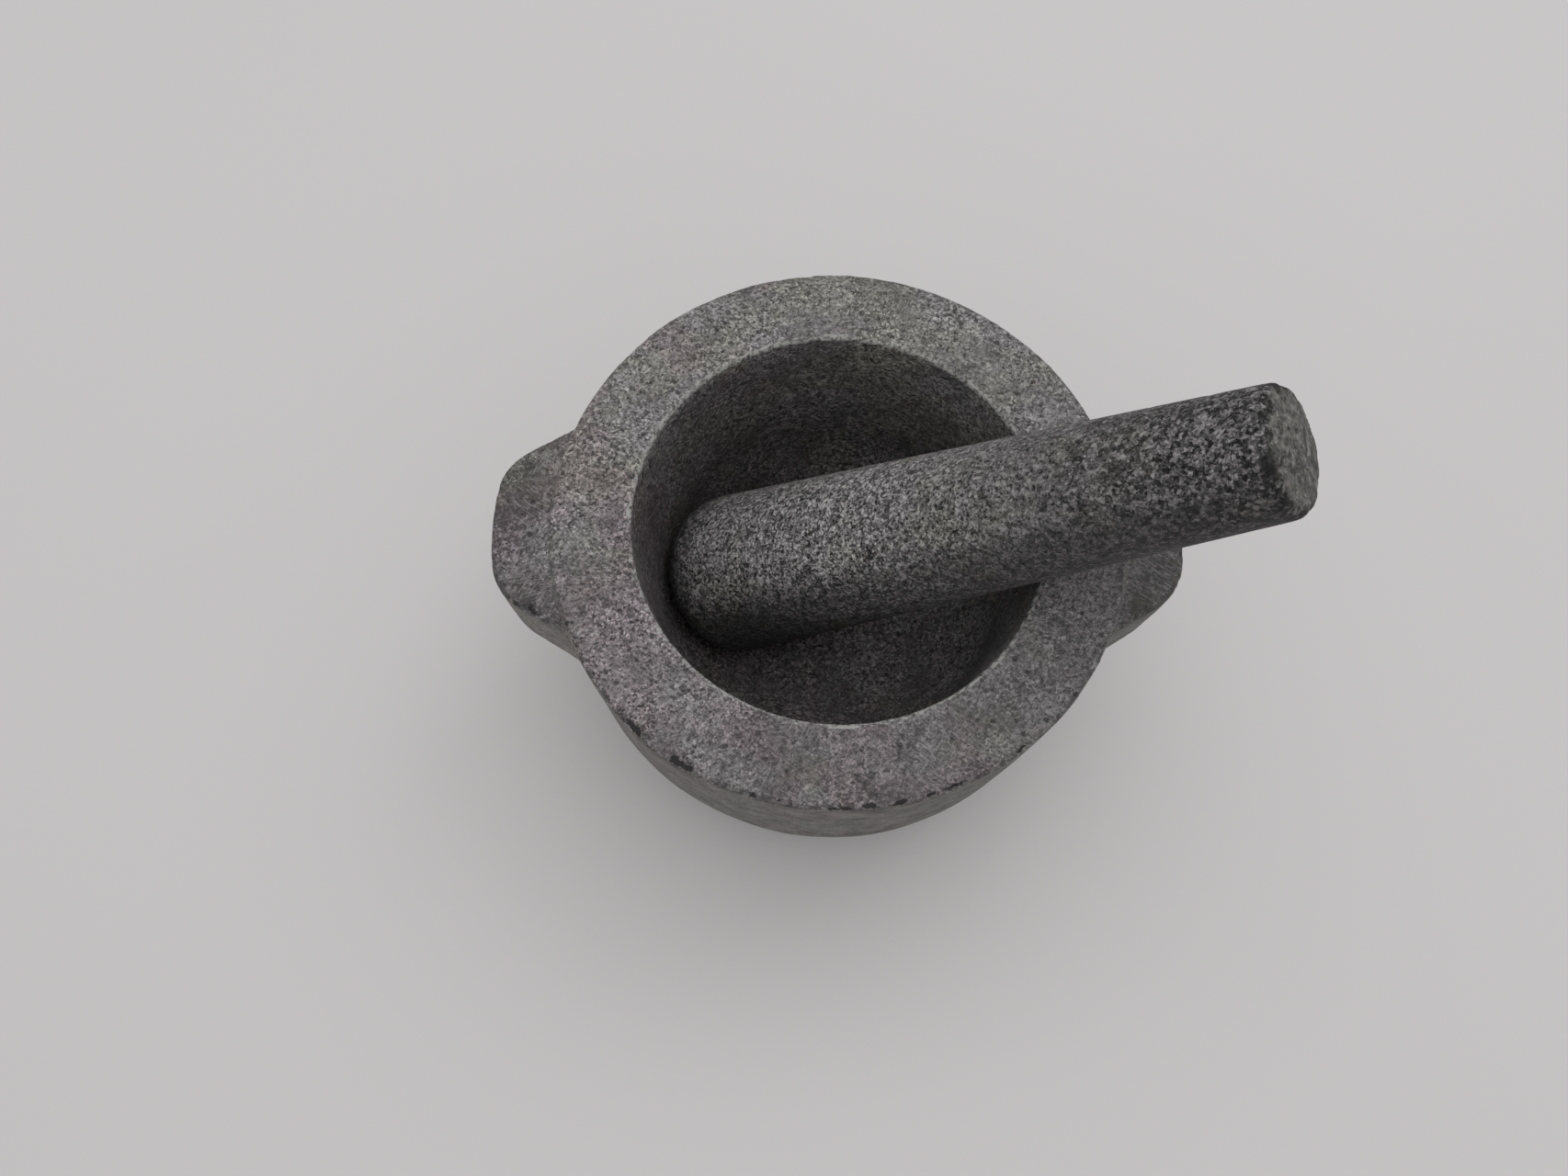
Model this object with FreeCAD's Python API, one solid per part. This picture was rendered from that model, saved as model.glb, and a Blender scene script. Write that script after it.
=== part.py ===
import FreeCAD, Part

import math
import os

# A lathe-turned granite mortar with two carved ears, and its tapered pestle leaning in the bowl.
# Millimetres. The origin is the middle of the mortar's flat foot, on the axis that it was turned
# about. +Z is up, and the ears point along +X and -X.

# Mortar, outside
rim_radius = 70.0
height = 95.0
wall_swell = 0.2  # degrees by which the outer wall widens downwards
wall_height = 48.0  # the straight stretch of the outer wall, below the rim
foot_radius = 52.0
foot_height = 7.0
foot_edge = 1.5
rim_edge = 0.9

# Mortar, bowl
mouth_radius = 50.3
lip_edge = 1.1
bowl_depth = 73.7
bowl_draft = 4.3  # degrees by which the bowl's wall narrows downwards
bowl_corner = 30.8
bowl_corner_height = 31.5  # of the corner's centre above the middle of the floor

# Ears
ear_reach = 84.4
ear_drop = 2.4  # from the rim down to an ear's top
ear_end_thickness = 21.0
ear_under_slope = 22.0  # degrees by which the underside drops towards the wall
ear_end_half_width = 17.0  # where the flank's line meets the end
ear_flank_angle = 30.0  # degrees between a flank and the X axis
ear_corner = 15.0
ear_edge = 1.3
ear_root = 58.0  # how near the axis an ear's block starts, inside the wall
ear_shift = 0.8  # how far the ears sit off the X axis, towards -Y

# Pestle
pestle_length = 172.0
head_radius = 22.6
butt_radius = 13.5
head_corner = 12.5
head_corner_height = 14.5  # of the corner's centre above the end of the head
butt_edge = 2.4
butt_crown = 0.8

# The pestle at rest: the end of its head, and the way that it leans
pestle_tip = FreeCAD.Vector(-35.4, 6.6, 31.7)
pestle_elevation = 45.5
pestle_azimuth = -7.8

AXIS = FreeCAD.Vector(0, 0, 1)
ORIGIN = FreeCAD.Vector(0, 0, 0)


def point(radius, z):
    """A point of a half section, at this distance from the axis."""
    return FreeCAD.Vector(radius, 0, z)


def polar(centre, radius, angle):
    """The point on a circle of the half section, at an angle in degrees from outwards to upwards."""
    turn = math.radians(angle)
    return centre + point(radius * math.cos(turn), radius * math.sin(turn))


def arc(centre, radius, start, end):
    """The arc of a half section between two angles in degrees."""
    middle = polar(centre, radius, (start + end) / 2)
    return Part.Arc(polar(centre, radius, start), middle, polar(centre, radius, end)).toShape()


def line(start, end):
    return Part.LineSegment(start, end).toShape()


def turned(edges):
    """The solid that the closed half section sweeps about the axis, its seam on the -Y side."""
    solid = Part.Face(Part.Wire(edges)).revolve(ORIGIN, AXIS, 360)
    solid.rotate(ORIGIN, AXIS, -90)
    return solid


def rounded_end(bottom, wall_radius, lean, corner, corner_height):
    """A corner arc tangent to a leaning wall, and the shallow cap arc that runs from it to the axis.

    bottom is the cap's height on the axis, wall_radius the wall's radius at the corner's centre, and
    lean the degrees by which the wall widens upwards. Returns the point where the wall ends, the
    corner arc and the cap arc.
    """
    turn = math.radians(lean)
    offset = wall_radius - corner / math.cos(turn)
    cap = (offset**2 + corner_height**2 - corner**2) / (2 * (corner_height - corner))
    seam = -math.degrees(math.atan2(cap - corner_height, offset))
    corner_centre = point(offset, bottom + corner_height)
    cap_centre = point(0, bottom + cap)
    wall_end = polar(corner_centre, corner, -lean)
    return wall_end, arc(corner_centre, corner, -lean, seam), arc(cap_centre, cap, seam, -90)


def bowl_section():
    """The bowl's edges, from the rim's flat top over the lip and down to the middle of the floor."""
    bottom = height - bowl_depth
    lean = math.tan(math.radians(bowl_draft))
    corner_depth = bowl_depth - bowl_corner_height
    wall_radius = mouth_radius - corner_depth * lean
    wall_end, corner_arc, cap_arc = rounded_end(
        bottom, wall_radius, bowl_draft, bowl_corner, bowl_corner_height
    )
    lip_centre = point(mouth_radius + lip_edge - lip_edge * lean, height - lip_edge)
    lip_arc = arc(lip_centre, lip_edge, 90, 180 - bowl_draft)
    wall = line(polar(lip_centre, lip_edge, 180 - bowl_draft), wall_end)
    return [lip_arc, wall, corner_arc, cap_arc], polar(lip_centre, lip_edge, 90)


def outer_section(top_start):
    """The outside's edges, from the middle of the foot up to the point where the rim's top starts."""
    shoulder_reach = rim_radius + wall_height * math.tan(math.radians(wall_swell))
    shoulder = point(shoulder_reach, height - wall_height)
    foot_top = point(foot_radius, foot_height)
    span = shoulder - foot_top
    shoulder_radius = (span.x**2 + span.z**2) / (2 * span.x)
    shoulder_centre = shoulder - point(shoulder_radius, 0)
    foot_arm = foot_top - shoulder_centre
    foot_angle = math.degrees(math.atan2(foot_arm.z, foot_arm.x))
    rim_centre = point(rim_radius - rim_edge, height - rim_edge)
    edge_centre = point(foot_radius - foot_edge, foot_edge)
    return [
        line(ORIGIN, point(foot_radius - foot_edge, 0)),
        arc(edge_centre, foot_edge, -90, 0),
        line(point(foot_radius, foot_edge), foot_top),
        arc(shoulder_centre, shoulder_radius, foot_angle, 0),
        line(shoulder, polar(rim_centre, rim_edge, 0)),
        arc(rim_centre, rim_edge, 0, 90),
        line(polar(rim_centre, rim_edge, 90), top_start),
    ]


def turned_block():
    """The mortar as it left the lathe, before its ears."""
    bowl, top_start = bowl_section()
    closing = line(point(0, height - bowl_depth), ORIGIN)
    return turned(outer_section(top_start) + bowl + [closing])


def ear_outline():
    """The plan of the ear on the +X side: two sloping flanks, rounded corners and a round end."""
    slope = math.tan(math.radians(ear_flank_angle))
    end_x = math.sqrt(ear_reach**2 - ear_end_half_width**2)
    root_half_width = ear_end_half_width + (end_x - ear_root) * slope
    corner_front = FreeCAD.Vector(end_x, -ear_end_half_width, 0)
    corner_back = FreeCAD.Vector(end_x, ear_end_half_width, 0)
    root_front = FreeCAD.Vector(ear_root, -root_half_width, 0)
    root_back = FreeCAD.Vector(ear_root, root_half_width, 0)
    return Part.Wire(
        [
            line(root_back, root_front),
            line(root_front, corner_front),
            Part.Arc(corner_front, FreeCAD.Vector(ear_reach, 0, 0), corner_back).toShape(),
            line(corner_back, root_back),
        ]
    )


def is_upright(edge):
    """Whether an edge of an ear's block is one of its straight upright edges."""
    start, end = edge.Vertexes[0].Point, edge.Vertexes[-1].Point
    return abs(end.z - start.z) > 1 and math.hypot(end.x - start.x, end.y - start.y) < 1e-3


def ear():
    """The ear on the +X side: level on top, and cut away below from the wall out to its end."""
    top = height - ear_drop
    reach_under = ear_reach - ear_root
    root_thickness = ear_end_thickness + reach_under * math.tan(math.radians(ear_under_slope))
    block = Part.Face(ear_outline()).extrude(FreeCAD.Vector(0, 0, -root_thickness))
    block.translate(FreeCAD.Vector(0, 0, top))
    corners = [e for e in block.Edges if is_upright(e) and e.CenterOfMass.x > ear_root + 1]
    block = block.makeFillet(ear_corner, corners)

    wide = 2 * ear_reach
    under_end = FreeCAD.Vector(ear_reach, -wide / 2, top - ear_end_thickness)
    under_root = FreeCAD.Vector(ear_root, -wide / 2, top - root_thickness)
    below_end = FreeCAD.Vector(ear_reach, -wide / 2, top - root_thickness)
    beyond = FreeCAD.Vector(1, 0, 0)
    wedge = Part.makePolygon([under_root, under_end, under_end + beyond, below_end + beyond, under_root])
    block = block.cut(Part.Face(wedge).extrude(FreeCAD.Vector(0, wide, 0)))

    outside = [e for e in block.Edges if not is_upright(e) and e.BoundBox.XMax > ear_root + 1]
    block = block.makeFillet(ear_edge, outside)
    block.translate(FreeCAD.Vector(0, -ear_shift, 0))
    return block


def mortar():
    """The mortar: the turned block and its two ears, one piece of stone."""
    right = ear()
    left = right.mirror(ORIGIN, FreeCAD.Vector(1, 0, 0))
    return turned_block().fuse([right, left]).removeSplitter()


def pestle():
    """The pestle, leaning in the bowl."""
    lean = -math.degrees(math.atan2(head_radius - butt_radius, pestle_length))
    wall_end, corner_arc, cap_arc = rounded_end(0, head_radius, lean, head_corner, head_corner_height)
    butt_centre = point(butt_radius - butt_edge, pestle_length - butt_edge - butt_crown)
    crown_start = polar(butt_centre, butt_edge, 90)
    crown_radius = (crown_start.x**2 + butt_crown**2) / (2 * butt_crown)
    crown_angle = math.degrees(math.acos(crown_start.x / crown_radius))
    crown_centre = point(0, pestle_length - crown_radius)
    solid = turned(
        [
            cap_arc,
            corner_arc,
            line(wall_end, polar(butt_centre, butt_edge, -lean)),
            arc(butt_centre, butt_edge, -lean, 90),
            arc(crown_centre, crown_radius, crown_angle, 90),
            line(point(0, pestle_length), ORIGIN),
        ]
    )
    elevation = math.radians(pestle_elevation)
    azimuth = math.radians(pestle_azimuth)
    level = math.cos(elevation)
    direction = FreeCAD.Vector(level * math.cos(azimuth), level * math.sin(azimuth), math.sin(elevation))
    leaning = FreeCAD.Placement(pestle_tip, FreeCAD.Rotation(AXIS, direction))
    solid.Placement = leaning.multiply(solid.Placement)
    return solid


os.makedirs("parts", exist_ok=True)
mortar().exportStep("parts/mortar.step")
pestle().exportStep("parts/pestle.step")
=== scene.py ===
import math
import random

import bpy
import numpy as np
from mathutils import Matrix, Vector, noise


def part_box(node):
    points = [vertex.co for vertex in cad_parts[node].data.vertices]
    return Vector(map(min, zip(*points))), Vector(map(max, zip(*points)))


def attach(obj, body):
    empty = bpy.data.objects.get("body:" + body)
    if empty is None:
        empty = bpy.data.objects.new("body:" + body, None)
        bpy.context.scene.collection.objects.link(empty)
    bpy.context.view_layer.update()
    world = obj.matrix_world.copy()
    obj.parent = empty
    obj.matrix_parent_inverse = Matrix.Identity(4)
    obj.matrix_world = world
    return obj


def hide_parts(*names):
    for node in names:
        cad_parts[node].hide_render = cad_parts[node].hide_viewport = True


# A granite mortar with two carved ears, and its pestle leaning in the bowl. Each piece is a dense
# mesh laid over its CAD surface, with worn and chipped arrises, and a granite made of nodes.

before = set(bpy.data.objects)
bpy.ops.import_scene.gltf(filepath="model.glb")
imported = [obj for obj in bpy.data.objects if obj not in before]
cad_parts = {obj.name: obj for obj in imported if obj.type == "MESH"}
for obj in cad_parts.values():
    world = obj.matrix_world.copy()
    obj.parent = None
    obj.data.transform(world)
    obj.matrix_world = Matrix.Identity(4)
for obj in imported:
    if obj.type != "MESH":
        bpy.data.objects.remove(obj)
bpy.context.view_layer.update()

MM = 0.001

# Sizes that come from the frame
mortar_low, mortar_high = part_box("mortar")
RIM_Z = mortar_high.z
RIM_RADIUS = (mortar_high.y - mortar_low.y) / 2

# Sizes that the frame doesn't give, as the CAD has them: the mouth, and the step down to the ears
MOUTH_RADIUS = 0.718 * RIM_RADIUS
EAR_DROP = 2.4 * MM

# The size of the even meshes' quads, which keeps each piece under 200,000 triangles
MORTAR_VOXEL = 1.09 * MM
PESTLE_VOXEL = 0.75 * MM

# Where the mortar's wall stands a little proud: a bearing and its spread in degrees
SWELLING_BEARING = -124
SWELLING_SPREAD = 17

# How sharply a surface bends, per metre, where an arris begins and where it is one
MORTAR_ARRIS = (55, 140)
PESTLE_ARRIS = (35, 85)

# Wear on the mortar's top, in patches: a bearing and how far it spreads, in degrees, its inner and
# outer reach in rim radii, and how many marks it has
CHIPS = (
    (-85, 5, 0.965, 1.0, 6),
    (-90, 20, 0.98, 1.0, 9),
    (-60, 10, 0.985, 1.0, 3),
    (-160, 5, 1.06, 1.14, 5),
)
STAINS = (
    (-85, 2, 0.86, 0.98, 9),
    (-160, 2, 0.84, 0.95, 5),
    (-70, 5, 0.8, 0.92, 3),
    (170, 3, 1.0, 1.1, 3),
)
CHIP_RADIUS = 0.8 * MM
STAIN_RADIUS = 1.25 * MM

# Crystals, relief and shine of the stone
MORTAR_GRAIN = 0.63 * MM
HEAD_GRAIN = 0.64 * MM
HANDLE_GRAIN = 0.84 * MM
MORTAR_RELIEF = 0.26 * MM
PESTLE_RELIEF = 0.34 * MM
MORTAR_SPECULAR = 0.18
PESTLE_SPECULAR = 0.16

# Tints of the stone, and the pale grey of its worn lip
OLIVE = (0.97, 1.0, 0.8)
PESTLE_OLIVE = (0.95, 1.0, 0.82)
MAUVE = (1.0, 0.84, 0.93)
WORN = (0.48, 0.48, 0.46)

# The floor's width, each lamp's place, width and power in watts, and the strength of the surround
FLOOR_WIDTH = 6.0
OVERHEAD = ((0.0, 0.22, 1.4), 1.4, 6.4)
WINDOW = ((0.6, 0.55, 1.15), 0.6, 1.4)
SURROUND = 0.47

# The camera, from the middle of the rim in rim radii, and the way that it leans from straight down
CAMERA_OFFSET = Vector((-0.234, -1.46, 3.541))
CAMERA_TILT = [math.radians(a) for a in (18.86, -0.66, -0.22)]
SENSOR_WIDTH = 36.0
LENS = 25.42


# ---------------------------------------------------------------- meshes


def even_mesh(node, name, voxel):
    """A copy of a CAD node's surface as an even mesh of small quads that lies on the original."""
    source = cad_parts[node]
    draft = bpy.data.objects.new(name + "_draft", source.data.copy())
    bpy.context.scene.collection.objects.link(draft)
    remesh = draft.modifiers.new("even", "REMESH")
    remesh.mode = "VOXEL"
    remesh.voxel_size = voxel
    settle = draft.modifiers.new("settle", "SHRINKWRAP")
    settle.wrap_method = "NEAREST_SURFACEPOINT"
    settle.target = source
    graph = bpy.context.evaluated_depsgraph_get()
    mesh = bpy.data.meshes.new_from_object(draft.evaluated_get(graph))
    bpy.data.objects.remove(draft)
    mesh.name = name
    mesh.materials.clear()
    piece = bpy.data.objects.new(name, mesh)
    bpy.context.scene.collection.objects.link(piece)
    mesh.shade_smooth()
    return piece


class Surface:
    """The points, normals and edges of a mesh as arrays, with the means to move and mark them."""

    def __init__(self, mesh):
        self.mesh = mesh
        self.read()
        ends = np.empty(len(mesh.edges) * 2, np.int32)
        mesh.edges.foreach_get("vertices", ends)
        self.start, self.end = ends.reshape(-1, 2).T
        self.valence = np.bincount(ends, minlength=len(mesh.vertices)).clip(1)[:, None]

    def read(self):
        count = len(self.mesh.vertices)
        self.points = np.empty(count * 3, np.float32)
        self.mesh.vertices.foreach_get("co", self.points)
        self.points = self.points.reshape(-1, 3).astype(float)
        self.normals = np.empty(count * 3, np.float32)
        self.mesh.vertices.foreach_get("normal", self.normals)
        self.normals = self.normals.reshape(-1, 3).astype(float)

    def near(self, values):
        """The mean of each point's neighbours."""
        total = np.zeros_like(values)
        np.add.at(total, self.start, values[self.end])
        np.add.at(total, self.end, values[self.start])
        return total / self.valence

    def blurred(self, values, times):
        """Values of one column, evened out over the surface."""
        values = values.reshape(-1, 1)
        for _ in range(times):
            values = (values + self.near(values)) / 2
        return values[:, 0]

    def convexity(self, times):
        """How sharply the surface bends outwards, per metre, evened out."""
        bend = self.near(self.points) - self.points
        step = np.linalg.norm(self.points[self.start] - self.points[self.end], axis=1).mean()
        return self.blurred(-(bend * self.normals).sum(1) / step**2, times)

    def lumps(self, size, seed):
        """Smooth noise from about -1 to 1 at each point, its lumps about size across."""
        away = Vector((seed * 7.31, seed * 3.17, seed * 5.73))
        return np.array([noise.noise(Vector(p) + away) for p in self.points / size])

    def move(self, distance):
        """Moves each point along its normal."""
        self.shift(self.normals, distance)

    def shift(self, direction, distance):
        """Moves each point by its distance in a direction."""
        self.points = self.points + direction * distance[:, None]
        self.mesh.vertices.foreach_set("co", self.points.astype(np.float32).ravel())
        self.mesh.update()
        self.read()

    def mark(self, name, values):
        """Keeps a value from 0 to 1 at each point, for the material to read."""
        attribute = self.mesh.attributes.new(name, "FLOAT", "POINT")
        attribute.data.foreach_set("value", np.clip(values, 0, 1).astype(np.float32))


def ramp(values, low, high):
    """0 below low, 1 above high, and smooth between."""
    share = np.clip((values - low) / (high - low), 0, 1)
    return share * share * (3 - 2 * share)


def fall(values, low, high):
    """1 below low, 0 above high, and smooth between."""
    return ramp(-values, -high, -low)


def scattered(points, patches, radius, stretch, seed):
    """1 at marks strewn over patches of the mortar's top, and 0 about a radius away from them.

    Each mark is up to stretch times as long round the rim as across it, and narrower that way if
    stretch is below 1. Marks fade out below the top.
    """
    draw = random.Random(seed)
    reach = np.hypot(points[:, 0], points[:, 1])
    swing = np.arctan2(points[:, 1], points[:, 0])
    top = RIM_Z - EAR_DROP * ramp(reach, RIM_RADIUS, RIM_RADIUS + 4 * MM)
    below = np.maximum(top - points[:, 2] - 0.5 * MM, 0)
    total = np.zeros(len(points))
    for bearing, spread, inner, outer, count in patches:
        for _ in range(count):
            middle = math.radians(draw.uniform(bearing - spread, bearing + spread))
            far = draw.uniform(inner, outer) * RIM_RADIUS
            size = radius * draw.uniform(0.6, 1.3)
            turn = (swing - middle + math.pi) % (2 * math.pi) - math.pi
            across = (reach - far) / size
            along = turn * far / (size * draw.uniform(1, stretch))
            total = np.maximum(total, np.exp(-(across**2) - along**2 - (below / size) ** 2))
    return total


def wear_ears_in(surface):
    """Wears the step between the rim and the back of each ear. Returns where the top is."""
    x, y, z = surface.points.T
    reach = np.hypot(x, y)
    top = ramp(z, RIM_Z - 5 * MM, RIM_Z - 4 * MM)
    worn = ramp(surface.blurred(top, 8), 0.9, 1.0) * ramp(y, -16 * MM, 2 * MM)
    worn *= ramp(reach, RIM_RADIUS - 9 * MM, RIM_RADIUS - 5 * MM)
    surface.shift(np.array([0, 0, 1]), 0.7 * worn * (surface.blurred(z, 30) - z))
    return top


def roughen(surface, unworn, outside, arris):
    """Makes the outside uneven and chips its arrises. Returns the nicks and the strewn chips."""
    x, y, z = unworn
    swing = np.degrees(np.arctan2(y, x))
    swelling = np.exp(-(((swing - SWELLING_BEARING) / SWELLING_SPREAD) ** 2))
    swelling = swelling * ramp(z, 0.3 * RIM_Z, RIM_Z)
    uneven = 0.25 * surface.lumps(34 * MM, seed=1) + 0.14 * surface.lumps(11 * MM, seed=2)
    nick = ramp(surface.lumps(5 * MM, seed=3), 0.05, 0.45) * outside * ramp(-y, -10 * MM, 45 * MM)
    crumb = ramp(surface.lumps(2.4 * MM, seed=4), 0.0, 0.6)
    chip_and_shadow = scattered(surface.points, CHIPS, CHIP_RADIUS, stretch=3.0, seed=11)
    surface.move(
        MM * outside * (uneven + 0.9 * swelling)
        - MM * arris * (0.6 * nick + 0.15 * crumb)
        - MM * 0.8 * chip_and_shadow
    )
    return nick, chip_and_shadow


def mortar_piece():
    """The mortar: ears worn into the rim, chipped arrises, an uneven outside and a smooth bowl."""
    piece = even_mesh("mortar", "mortar_stone", MORTAR_VOXEL)
    surface = Surface(piece.data)
    unworn = surface.points.T
    outside = ramp(np.hypot(unworn[0], unworn[1]), MOUTH_RADIUS + 6 * MM, RIM_RADIUS - 4 * MM)
    top = wear_ears_in(surface)
    arris = ramp(surface.convexity(1), *MORTAR_ARRIS)
    nick, chip_and_shadow = roughen(surface, unworn, outside, arris)

    x, y, z = surface.points.T
    reach = np.hypot(x, y)
    level = surface.normals[:, 2]
    bowl = fall(reach, MOUTH_RADIUS - 1.2 * MM, MOUTH_RADIUS + 0.4 * MM)
    bowl *= fall(z, RIM_Z - 2.6 * MM, RIM_Z - 0.8 * MM) * ramp(z, 0.15 * RIM_Z, 0.18 * RIM_Z)
    lip = fall(reach, MOUTH_RADIUS + 3 * MM, MOUTH_RADIUS + 5 * MM) * ramp(arris, 0.4, 1.0)
    surface.mark("bowl", bowl)
    surface.mark("lip", lip)
    surface.mark("arris", surface.blurred(arris * outside, 1))
    # Where chips and nicks are, which the material paints near black: partly their broken facets, partly
    # painted shadow in their hollows.
    surface.mark("chip_and_shadow", np.maximum(surface.blurred(arris * nick * outside, 1), chip_and_shadow))
    surface.mark("side", fall(level, 0.35, 0.75) * (1 - bowl) * outside)
    surface.mark("ear", ramp(reach, RIM_RADIUS - 1 * MM, RIM_RADIUS + 4 * MM) * top)
    surface.mark("level", ramp(level, 0.8, 0.97) * (1 - bowl))
    surface.mark("smudge", scattered(surface.points, STAINS, STAIN_RADIUS, stretch=0.7, seed=13))
    return piece


def pestle_piece():
    """The pestle: its head worn smooth by grinding, its handle rougher, its butt's arris chipped."""
    piece = even_mesh("pestle", "pestle_stone", PESTLE_VOXEL)
    surface = Surface(piece.data)
    centre = surface.points.mean(0)
    sample = (surface.points - centre)[::7]
    axis = np.linalg.svd(sample, full_matrices=False)[2][0]
    axis = axis * np.sign(axis[2])
    along = (surface.points - centre) @ axis
    along = (along - along.min()) / (along.max() - along.min())
    arris = ramp(surface.convexity(2), *PESTLE_ARRIS) * ramp(along, 0.7, 0.9)

    nick = ramp(surface.lumps(6 * MM, seed=5), 0.05, 0.55)
    crumb = ramp(surface.lumps(2.3 * MM, seed=6), 0.0, 0.6)
    dent = ramp(surface.lumps(3.6 * MM, seed=7), 0.2, 0.7) * ramp(along, 0.3, 0.75)
    surface.move(-MM * (arris * (0.3 * nick + 0.2 * crumb) + 0.14 * dent))

    # The head's end is darkened partly as ground stone and partly as painted shade. The low side, facing
    # down and to the front left, gets painted shade.
    end = fall(along + 0.015 * surface.lumps(4 * MM, seed=9), 0.055, 0.135)
    low_side = np.array([-0.3, -0.5, -0.8])
    low = surface.normals @ low_side
    under = ramp(low, -0.08, 0.26) * (0.68 + 0.32 * fall(along, 0.15, 0.4))
    facing = surface.normals @ axis + 0.2 * surface.lumps(3 * MM, seed=8)
    surface.mark("handle", ramp(along, 0.35, 0.95))
    surface.mark("arris", surface.blurred(arris, 1))
    surface.mark("ground_and_painted_shade", np.maximum(end, under))
    surface.mark("butt", ramp(facing, 0.6, 0.9))
    return piece


# ---------------------------------------------------------------- materials


class Material:
    """A new node material, with short calls to add its nodes."""

    def __init__(self, name):
        self.data = bpy.data.materials.new(name)
        self.data.use_nodes = True
        self.tree = self.data.node_tree
        self.tree.nodes.clear()

    def add(self, kind, inputs=None, **settings):
        """A node of this kind. Each input is a socket to link, or a plain value."""
        node = self.tree.nodes.new(kind)
        for key, value in settings.items():
            setattr(node, key, value)
        for key, value in (inputs or {}).items():
            if isinstance(value, bpy.types.NodeSocket):
                self.tree.links.new(value, node.inputs[key])
            else:
                node.inputs[key].default_value = value
        return node

    def math(self, operation, a, b, clamp=False):
        return self.add("ShaderNodeMath", {0: a, 1: b}, operation=operation, use_clamp=clamp).outputs[0]

    def remap(self, value, low, high, to_low=0.0, to_high=1.0):
        """The value, from low..high to to_low..to_high with soft ends."""
        inputs = {0: value, 1: low, 2: high, 3: to_low, 4: to_high}
        return self.add("ShaderNodeMapRange", inputs, interpolation_type="SMOOTHSTEP").outputs[0]

    def noise(self, vector, size, detail, roughness=0.5):
        """Noise from 0 to 1, its lumps about size metres across."""
        inputs = {"Vector": vector, "Scale": 1 / size, "Detail": detail, "Roughness": roughness}
        return self.add("ShaderNodeTexNoise", inputs).outputs["Fac"]

    def crystals(self, vector, size):
        """A random number from 0 to 1 for each crystal, about size metres across."""
        cells = self.add("ShaderNodeTexVoronoi", {"Vector": vector, "Scale": 1 / size})
        return self.add("ShaderNodeSeparateColor", {0: cells.outputs["Color"]}).outputs[0]

    def vector(self, operation, a, b):
        return self.add("ShaderNodeVectorMath", {0: a, 1: b}, operation=operation).outputs[0]

    def towards(self, vector, direction):
        """How far the vector reaches in a direction."""
        inputs = {0: vector, 1: direction}
        return self.add("ShaderNodeVectorMath", inputs, operation="DOT_PRODUCT").outputs["Value"]

    def moved(self, vector, distance):
        """The vector moved aside, for a noise of its own."""
        return self.vector("ADD", vector, (distance, 0.6 * distance, 0.3 * distance))

    def mark(self, name):
        """A value that the mesh keeps at each point."""
        return self.add("ShaderNodeAttribute", attribute_name=name).outputs["Fac"]

    def ragged(self, value, place, size, low, high):
        """A soft mark made crisp, its outline broken up by noise about size metres across."""
        rough = self.math("SUBTRACT", self.noise(place, size, 3.0, 0.6), 0.5)
        return self.remap(self.math("ADD", value, self.times(rough, 1.2)), low, high)

    def specks(self, place, spacing, width):
        """1 on sparse crystals up to width across, in cells about spacing across, and 0 between."""
        cells = self.add("ShaderNodeTexVoronoi", {"Vector": place, "Scale": 1 / spacing})
        share = width / spacing
        rough = self.times(self.noise(place, 0.45 * width, 2.0), 0.6 * share)
        far = self.math("ADD", cells.outputs["Distance"], rough)
        chance = self.add("ShaderNodeSeparateColor", {0: cells.outputs["Color"]}).outputs[1]
        radius = self.times(self.remap(chance, 0.4, 1.0), share)
        return self.math("MULTIPLY", self.math("SUBTRACT", radius, far), 12.0, clamp=True)

    def times(self, a, b):
        return self.math("MULTIPLY", a, b)

    def paint(self, colour, share, tint, kind="MIX"):
        """The colour with this share of one tint over it, mixed in or multiplied."""
        return self.blend(share, colour, (*tint, 1), kind)

    def blend(self, share, a, b, kind="MIX"):
        """The colour a with this share of the colour b over it, mixed in or multiplied."""
        inputs = {0: share, 6: a, 7: b}
        return self.add("ShaderNodeMix", inputs, data_type="RGBA", blend_type=kind).outputs[2]

    def colours(self, value, stops):
        """A colour ramp through (position, grey or colour) stops."""
        node = self.add("ShaderNodeValToRGB", {0: value})
        elements = node.color_ramp.elements
        for _ in range(len(stops) - 2):
            elements.new(0.5)
        for element, (position, colour) in zip(elements, stops):
            element.position = position
            element.color = (*colour, 1)
        return node.outputs[0]

    def turned(self, vector, degrees, stretch):
        """The vector turned about Z, then stretched: long strokes along its new X axis."""
        inputs = {"Vector": vector, "Rotation": (0, 0, math.radians(degrees)), "Scale": stretch}
        return self.add("ShaderNodeMapping", inputs, vector_type="TEXTURE").outputs[0]

    def place(self):
        """Object coordinates, in metres."""
        return self.add("ShaderNodeTexCoord").outputs["Object"]

    def finish(self, colour, roughness, height, depth, specular):
        """The surface's shader, with its relief in metres."""
        bump = self.add("ShaderNodeBump", {"Height": height, "Distance": depth, "Strength": 1.0})
        inputs = {
            "Base Color": colour,
            "Roughness": roughness,
            "Normal": bump.outputs[0],
            "Specular IOR Level": specular,
        }
        shader = self.add("ShaderNodeBsdfPrincipled", inputs)
        self.add("ShaderNodeOutputMaterial", {"Surface": shader.outputs[0]})
        return self.data


def grey(value):
    """A linear grey with a faint mauve tint."""
    return (1.02 * value, 0.98 * value, 0.99 * value)


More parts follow.
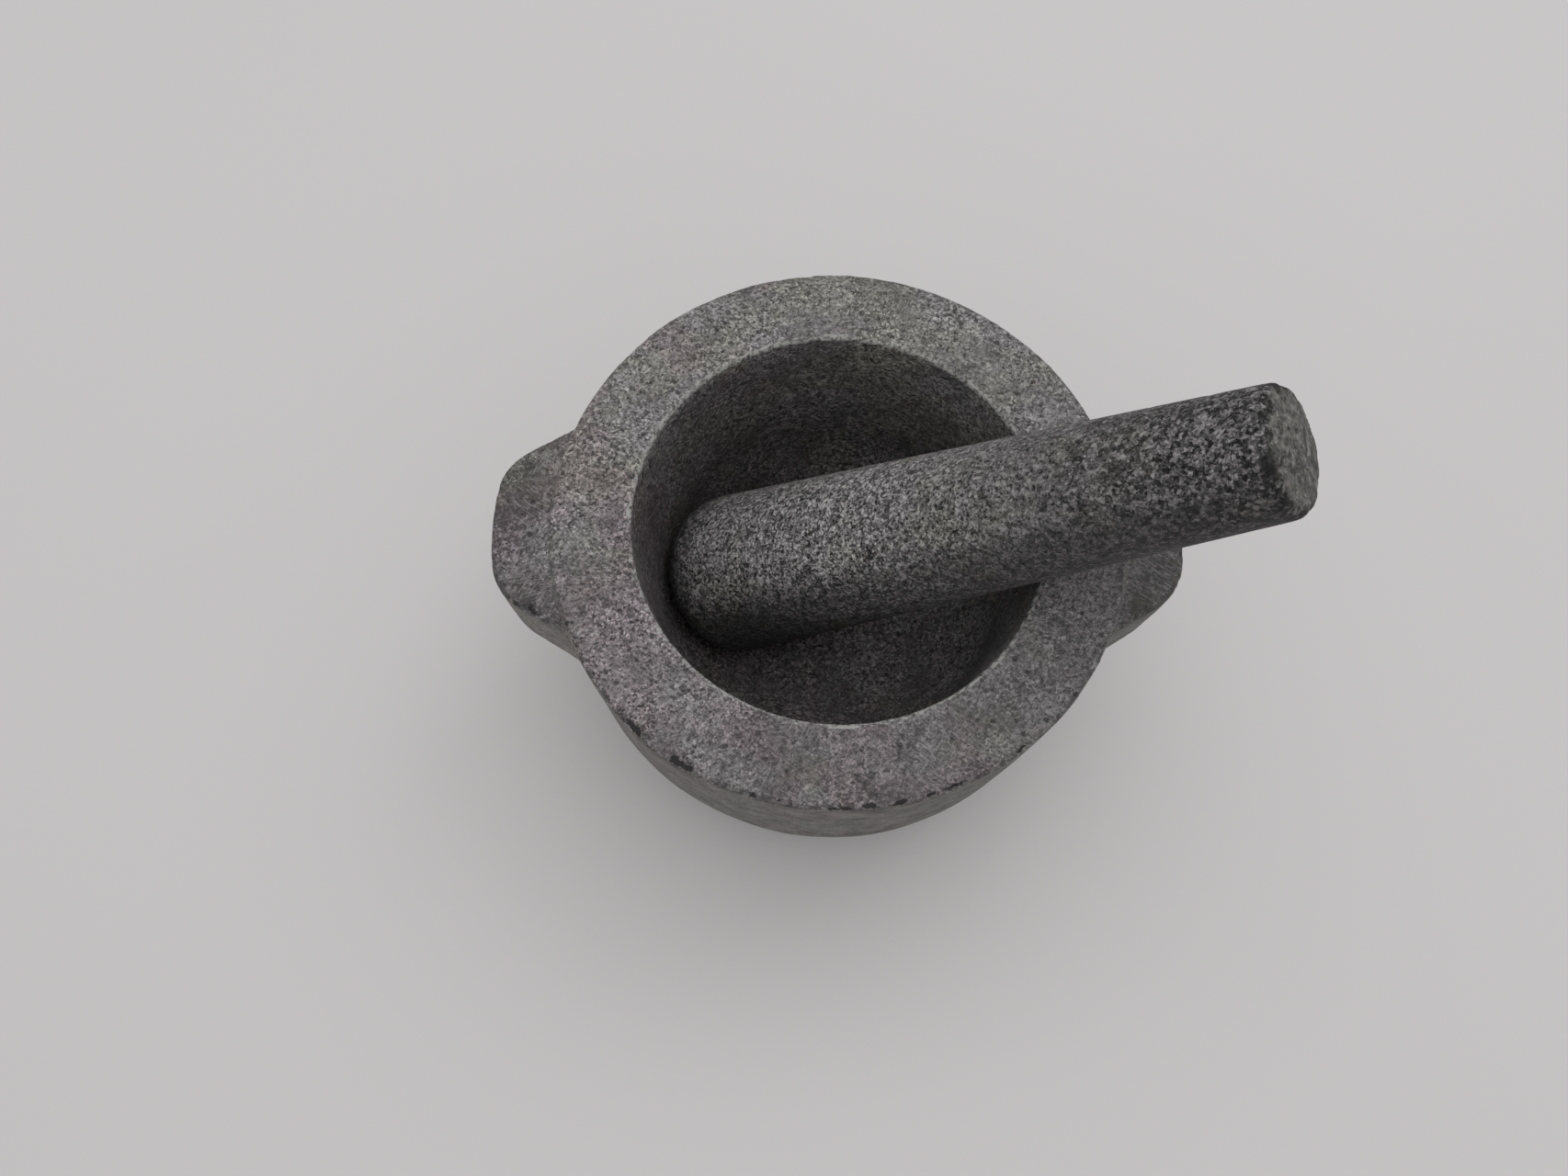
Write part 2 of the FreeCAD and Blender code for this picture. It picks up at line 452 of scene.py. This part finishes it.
def granite_grain(stone, place, size, clumping, stops):
    """Colour and height of a speckled stone whose crystals are about size metres across."""
    warp = stone.add("ShaderNodeTexNoise", {"Vector": place, "Scale": 0.9 / size, "Detail": 1.0})
    shift = stone.vector("SUBTRACT", warp.outputs["Color"], (0.5, 0.5, 0.5))
    push = stone.add("ShaderNodeVectorMath", {0: shift, 3: 1.5 * size}, operation="SCALE").outputs[0]
    bent = stone.vector("ADD", place, push)
    large = stone.crystals(bent, size)
    small = stone.crystals(bent, 0.5 * size)
    clump = stone.noise(place, 3.0 * size, 3.0)
    mixed = stone.math("ADD", stone.times(large, 0.55), stone.times(small, 0.45))
    mixed = stone.math("ADD", mixed, stone.times(stone.math("SUBTRACT", clump, 0.5), clumping))
    return stone.colours(mixed, stops), mixed


def mottled(stone, place, colour):
    """Dark patches, painted shade towards the front right, and darker blotches on the ears."""
    patch = stone.remap(stone.noise(place, 15 * MM, 4.0, 0.6), 0.42, 0.68, 0, 0.5)
    colour = stone.paint(colour, patch, grey(0.11))
    mottle = stone.remap(stone.noise(stone.moved(place, 0.07), 5 * MM, 3.0, 0.6), 0.52, 0.72, 0, 0.4)
    colour = stone.paint(colour, mottle, grey(0.08))
    # Painted shade: the stone darkens towards the front right, standing in for shade there and for the
    # pestle's shadow on the right ear. It is weaker in the bowl.
    front_right = stone.towards(place, (0.6, -0.8, 0))
    shade = stone.remap(front_right, -30 * MM, 80 * MM, 0, 0.48)
    shade = stone.times(shade, stone.remap(stone.mark("bowl"), 0, 1, 1.0, 0.4))
    colour = stone.paint(colour, shade, grey(0.1))
    blotch = stone.remap(stone.noise(stone.moved(place, 0.2), 5 * MM, 4.0, 0.65), 0.4, 0.6, 0.18, 0.72)
    return stone.paint(colour, stone.times(stone.mark("ear"), blotch), grey(0.07))


def stain(stone, place, size, side, lean, aside):
    """Where large stains are, more of them towards a side by lean."""
    slope = stone.times(stone.towards(place, side), lean / RIM_RADIUS)
    patches = stone.noise(stone.moved(place, aside), size, 4.0, 0.65)
    return stone.remap(stone.math("ADD", patches, slope), 0.47, 0.62)


def sanding_strokes(stone, place):
    """Where the level top has short strokes from sanding, in three directions."""
    strokes = None
    for degrees, region in ((62, 0.0), (-38, 0.4), (12, 0.8)):
        fine = stone.noise(stone.turned(place, degrees, (6, 1, 1)), 0.45 * MM, 1.0)
        patchy = stone.remap(stone.noise(stone.moved(place, region), 11 * MM, 1.0), 0.44, 0.6)
        line = stone.times(stone.remap(fine, 0.53, 0.66), patchy)
        strokes = line if strokes is None else stone.math("MAXIMUM", strokes, line)
    return stone.times(strokes, stone.mark("level"))


def honed_side(stone, place, colour):
    """The plainer, smoother colour of the outer wall."""
    streak = stone.noise(stone.moved(place, 0.5), 6 * MM, 6.0, 0.68)
    stops = [
        (0.36, (0.12, 0.115, 0.105)),
        (0.5, (0.24, 0.24, 0.215)),
        (0.64, (0.37, 0.37, 0.335)),
    ]
    plain = stone.colours(streak, stops)
    return stone.blend(stone.times(stone.mark("side"), 0.46), colour, plain)


def painted_bowl_shade(stone, place, colour):
    """Painted shade in the bowl: darker towards the left, and darkest where the back wall meets the
    floor.
    """
    bowl = stone.mark("bowl")
    half = 0.7 * RIM_RADIUS
    # Painted shade: darker towards the bowl's left wall.
    left = stone.remap(stone.towards(place, (-1, 0, 0)), -half, half, 0.04, 0.72)
    colour = stone.paint(colour, stone.times(bowl, left), grey(0.4), "MULTIPLY")
    # Painted shade in the crease where the back wall meets the floor.
    deep = stone.remap(stone.towards(place, (0, 0, 1)), 0.3 * RIM_Z, 0.62 * RIM_Z, 0.5, 0)
    back = stone.remap(stone.towards(place, (0, 1, 0)), 0, 0.35 * RIM_RADIUS)
    return stone.paint(colour, stone.times(bowl, stone.times(deep, back)), grey(0.4), "MULTIPLY")


def worn_edges(stone, place, colour):
    """The pale speckled lip, dark arrises, chips painted near black partly as painted shadow in their
    hollows, smudges, and sparse black crystals.
    """
    pale = stone.remap(stone.noise(place, 0.9 * MM, 2.0), 0.4, 0.56, 0.1, 0.95)
    lip = stone.times(stone.remap(stone.mark("lip"), 0.25, 0.7), pale)
    colour = stone.paint(colour, lip, WORN)
    dark = stone.remap(stone.noise(place, 2.2 * MM, 3.0), 0.47, 0.62, 0, 0.65)
    colour = stone.paint(colour, stone.times(stone.mark("arris"), dark), grey(0.05))
    # Chips and nicks painted near black: partly their broken facets, partly painted shadow in their
    # hollows.
    chip_and_shadow = stone.ragged(stone.mark("chip_and_shadow"), place, 1.2 * MM, 0.47, 0.62)
    colour = stone.paint(colour, stone.times(chip_and_shadow, 0.88), grey(0.026))
    smudge = stone.ragged(stone.mark("smudge"), place, 1.6 * MM, 0.4, 0.8)
    colour = stone.paint(colour, stone.times(smudge, 0.62), grey(0.05))
    fewer = stone.remap(stone.mark("side"), 0, 1, 0.7, 0.35)
    return stone.paint(colour, stone.times(stone.specks(place, 2.9 * MM, 1.25 * MM), fewer), grey(0.03))


def mortar_granite():
    """Fine grey granite with olive and mauve stains, painted shade in the bowl, and pale worn lip."""
    stone = Material("mortar_granite")
    place = stone.place()
    stops = [
        (0.14, grey(0.032)),
        (0.32, grey(0.115)),
        (0.52, grey(0.235)),
        (0.7, grey(0.37)),
        (0.88, grey(0.62)),
    ]
    colour, grain = granite_grain(stone, place, MORTAR_GRAIN, 0.55, stops)
    colour = mottled(stone, place, colour)
    olive = stain(stone, place, size=21 * MM, side=(-0.3, 0.95, 0), lean=0.06, aside=0.43)
    colour = stone.paint(colour, stone.times(olive, 0.5), OLIVE, "MULTIPLY")
    mauve = stain(stone, place, size=19 * MM, side=(-0.8, -0.6, 0), lean=0.12, aside=0.31)
    colour = stone.paint(colour, stone.times(mauve, 0.55), MAUVE, "MULTIPLY")
    strokes = sanding_strokes(stone, place)
    colour = stone.paint(colour, stone.times(strokes, 0.5), grey(0.36))
    colour = honed_side(stone, place, colour)
    colour = painted_bowl_shade(stone, place, colour)
    colour = worn_edges(stone, place, colour)

    roughness = stone.remap(grain, 0.2, 0.8, 0.6, 0.82)
    relief = stone.times(grain, stone.remap(stone.mark("bowl"), 0, 1, 1.0, 0.6))
    relief = stone.math("SUBTRACT", relief, stone.times(strokes, 0.25))
    return stone.finish(colour, roughness, relief, MORTAR_RELIEF, MORTAR_SPECULAR)


def bruised_butt(stone, place, colour):
    """The butt's speckle, bruised by pounding, and its dark chipped arris."""
    bruise = stone.noise(stone.moved(place, 0.1), 1.7 * MM, 4.0, 0.72)
    stops = [
        (0.37, (0.02, 0.02, 0.018)),
        (0.48, (0.11, 0.11, 0.1)),
        (0.63, (0.31, 0.31, 0.275)),
    ]
    colour = stone.blend(stone.times(stone.mark("butt"), 0.55), colour, stone.colours(bruise, stops))
    chipped = stone.remap(stone.noise(place, 2.6 * MM, 4.0, 0.6), 0.42, 0.54)
    return stone.paint(colour, stone.times(stone.times(stone.mark("arris"), chipped), 0.85), grey(0.012))


def pestle_granite():
    """Darker and coarser granite: big dark and pale crystals on the handle, finer at the head."""
    stone = Material("pestle_granite")
    place = stone.place()
    fine_stops = [
        (0.2, grey(0.014)),
        (0.36, grey(0.085)),
        (0.52, grey(0.205)),
        (0.68, grey(0.37)),
        (0.86, grey(0.68)),
    ]
    coarse_stops = [
        (0.24, grey(0.01)),
        (0.38, grey(0.04)),
        (0.54, grey(0.105)),
        (0.7, grey(0.19)),
        (0.88, grey(0.34)),
    ]
    fine, fine_grain = granite_grain(stone, place, HEAD_GRAIN, 0.55, fine_stops)
    coarse, coarse_grain = granite_grain(stone, place, HANDLE_GRAIN, 0.65, coarse_stops)
    handle = stone.mark("handle")
    colour = stone.blend(handle, fine, coarse)
    grain = stone.add("ShaderNodeMix", {0: handle, 2: fine_grain, 3: coarse_grain}).outputs[0]

    olive = stone.remap(stone.noise(place, 20 * MM, 4.0, 0.65), 0.5, 0.66)
    colour = stone.paint(colour, stone.times(olive, 0.5), PESTLE_OLIVE, "MULTIPLY")
    colour = bruised_butt(stone, place, colour)
    # Darkens the head's end, partly ground stone and partly painted shade, and lays painted shade on the
    # low side.
    colour = stone.paint(colour, stone.times(stone.mark("ground_and_painted_shade"), 0.75), grey(0.03))

    roughness = stone.remap(grain, 0.2, 0.8, 0.55, 0.85)
    return stone.finish(colour, roughness, grain, PESTLE_RELIEF, PESTLE_SPECULAR)


# ---------------------------------------------------------------- floor, light and camera


def floor():
    """The plain pale surface that the mortar stands on."""
    half = FLOOR_WIDTH / 2
    mesh = bpy.data.meshes.new("floor")
    corners = [(-half, -half, 0), (half, -half, 0), (half, half, 0), (-half, half, 0)]
    mesh.from_pydata(corners, [], [(0, 1, 2, 3)])
    plane = bpy.data.objects.new("floor", mesh)
    bpy.context.scene.collection.objects.link(plane)
    matt = Material("floor")
    place = matt.place()
    shade = matt.blend(matt.noise(place, 0.4, 2.0), (*grey(0.72), 1), (*grey(0.75), 1))
    relief = matt.noise(place, 2 * MM, 1.0)
    mesh.materials.append(matt.finish(shade, 0.8, relief, 0.02 * MM, 0.2))


def soft_light(name, target, place, width, watts):
    """A square area light that faces the target."""
    data = bpy.data.lights.new(name, "AREA")
    data.size = width
    data.energy = watts
    lamp = bpy.data.objects.new(name, data)
    lamp.location = place
    lamp.rotation_euler = (Vector(target) - Vector(place)).to_track_quat("-Z", "Y").to_euler()
    bpy.context.scene.collection.objects.link(lamp)


def studio():
    """A wide soft light overhead, a weaker one from the back right, and an even pale surround."""
    middle = (0, 0, 0.5 * RIM_Z)
    soft_light("overhead", middle, *OVERHEAD)
    soft_light("window", middle, *WINDOW)
    world = bpy.data.worlds.new("surround")
    world.use_nodes = True
    background = world.node_tree.nodes["Background"]
    background.inputs["Color"].default_value = (1.0, 1.0, 1.0, 1)
    background.inputs["Strength"].default_value = SURROUND
    bpy.context.scene.world = world
    bpy.context.scene.view_settings.view_transform = "Standard"


def camera():
    """A camera above the mortar and a little in front of it, looking steeply down."""
    data = bpy.data.cameras.new("camera")
    data.sensor_width = SENSOR_WIDTH
    data.lens = LENS
    data.clip_start = 0.01
    viewer = bpy.data.objects.new("camera", data)
    viewer.location = Vector((0, 0, RIM_Z)) + CAMERA_OFFSET * RIM_RADIUS
    viewer.rotation_euler = CAMERA_TILT
    bpy.context.scene.collection.objects.link(viewer)
    bpy.context.scene.camera = viewer


mortar_stone = mortar_piece()
mortar_stone.data.materials.append(mortar_granite())
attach(mortar_stone, "mortar")
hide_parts("mortar")

pestle_stone = pestle_piece()
pestle_stone.data.materials.append(pestle_granite())
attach(pestle_stone, "pestle")
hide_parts("pestle")

floor()
studio()
camera()
